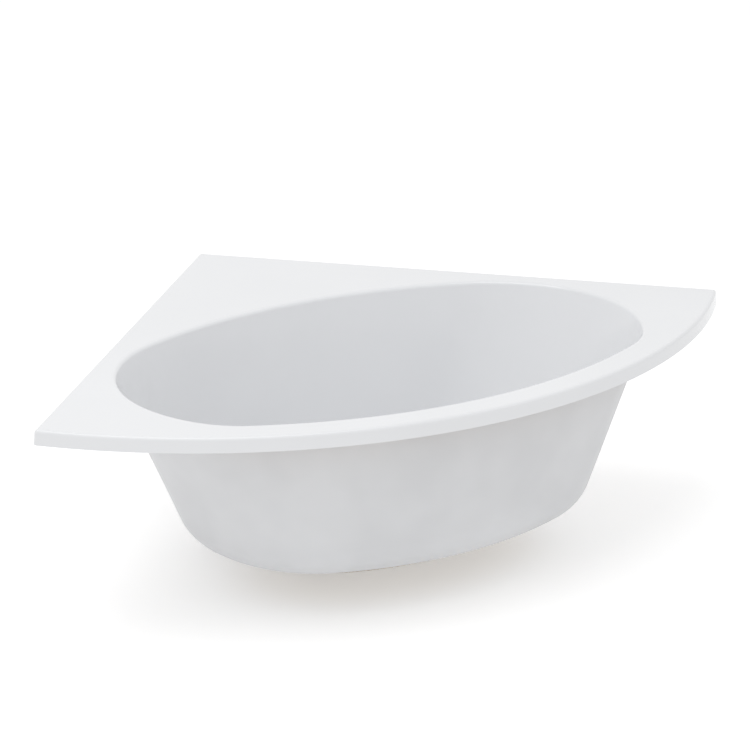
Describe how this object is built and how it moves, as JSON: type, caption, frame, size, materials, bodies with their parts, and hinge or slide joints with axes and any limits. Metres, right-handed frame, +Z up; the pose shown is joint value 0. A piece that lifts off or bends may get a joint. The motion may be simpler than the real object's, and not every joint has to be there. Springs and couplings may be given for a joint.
{
  "type": "corner bathtub",
  "caption": "Symmetrical corner bath with a curved front edge, a wide flat corner ledge and a deep oval basin, on an adjustable leg set with a click-clack waste.",
  "frame": {"origin": "middle of the bounding box, at the feet's floor level", "axes": "+Z up; +Y towards the room's corner, so -Y is the curved front; +X towards the right-hand wall as seen from the front"},
  "size_m": [1.9732, 1.431, 0.55],
  "materials": {
    "acrylic_white": "gloss white sanitary acrylic, bonded backing below",
    "base_board": "raw particle board sealed with resin",
    "batten_wood": "planed softwood",
    "zinc_steel": "bright zinc plate",
    "steel_black": "satin black powder coat",
    "foot_plastic": "moulded nylon",
    "chrome": "polished chrome plate",
    "seal_rubber": "matt black rubber",
    "spring_steel": "drawn stainless wire",
    "clicker_brass": "turned brass",
    "trap_white": "moulded white polypropylene",
    "nut_white": "moulded white polypropylene"
  },
  "bodies": {
    "bath": {"bath_shell": "acrylic_white", "base_board": "base_board", "rim_batten_left": "batten_wood", "rim_batten_right": "batten_wood", "rim_batten_front": "batten_wood", "wall_bracket_left": "zinc_steel", "wall_bracket_right": "zinc_steel", "bracket_screws": "zinc_steel", "leg_bar_left": "steel_black", "leg_bar_right": "steel_black", "leg_bar_screws": "zinc_steel", "flange_seal": "seal_rubber", "waste_body": "chrome", "under_seal": "seal_rubber", "back_nut": "nut_white", "clicker_barrel": "clicker_brass", "clicker_spring": "spring_steel", "trap_washer": "seal_rubber", "trap_union_nut": "nut_white", "trap_body": "trap_white", "clean_cap_seal": "seal_rubber", "clean_cap": "nut_white", "outlet_seal": "seal_rubber", "outlet_nut": "nut_white", "foot_front_left_weld_nut": "zinc_steel", "foot_front_left_lock_nut": "zinc_steel", "foot_front_right_weld_nut": "zinc_steel", "foot_front_right_lock_nut": "zinc_steel", "foot_rear_left_weld_nut": "zinc_steel", "foot_rear_left_lock_nut": "zinc_steel", "foot_rear_right_weld_nut": "zinc_steel", "foot_rear_right_lock_nut": "zinc_steel"},
    "foot_front_left": {"foot_front_left_pad": "foot_plastic", "foot_front_left_rod": "zinc_steel"},
    "foot_front_right": {"foot_front_right_pad": "foot_plastic", "foot_front_right_rod": "zinc_steel"},
    "foot_rear_left": {"foot_rear_left_pad": "foot_plastic", "foot_rear_left_rod": "zinc_steel"},
    "foot_rear_right": {"foot_rear_right_pad": "foot_plastic", "foot_rear_right_rod": "zinc_steel"},
    "plug": {"plug_plunger": "clicker_brass", "plug_cap": "chrome", "plug_seal": "seal_rubber"}
  },
  "joints": [
    {"name": "foot_front_left_height", "type": "slide", "parent": "bath", "child": "foot_front_left", "axis": [0, 0, 1], "range_m": [-0.02, 0]},
    {"name": "foot_front_right_height", "type": "slide", "parent": "bath", "child": "foot_front_right", "axis": [0, 0, 1], "range_m": [-0.02, 0]},
    {"name": "foot_rear_left_height", "type": "slide", "parent": "bath", "child": "foot_rear_left", "axis": [0, 0, 1], "range_m": [-0.02, 0]},
    {"name": "foot_rear_right_height", "type": "slide", "parent": "bath", "child": "foot_rear_right", "axis": [0, 0, 1], "range_m": [-0.02, 0]},
    {"name": "plug_slide", "type": "slide", "parent": "bath", "child": "plug", "axis": [0, 0, 1], "range_m": [-0.008, 0], "stiffness_N_per_m": 400, "springref_m": 0.006, "deforming": ["clicker_spring"]}
  ]
}
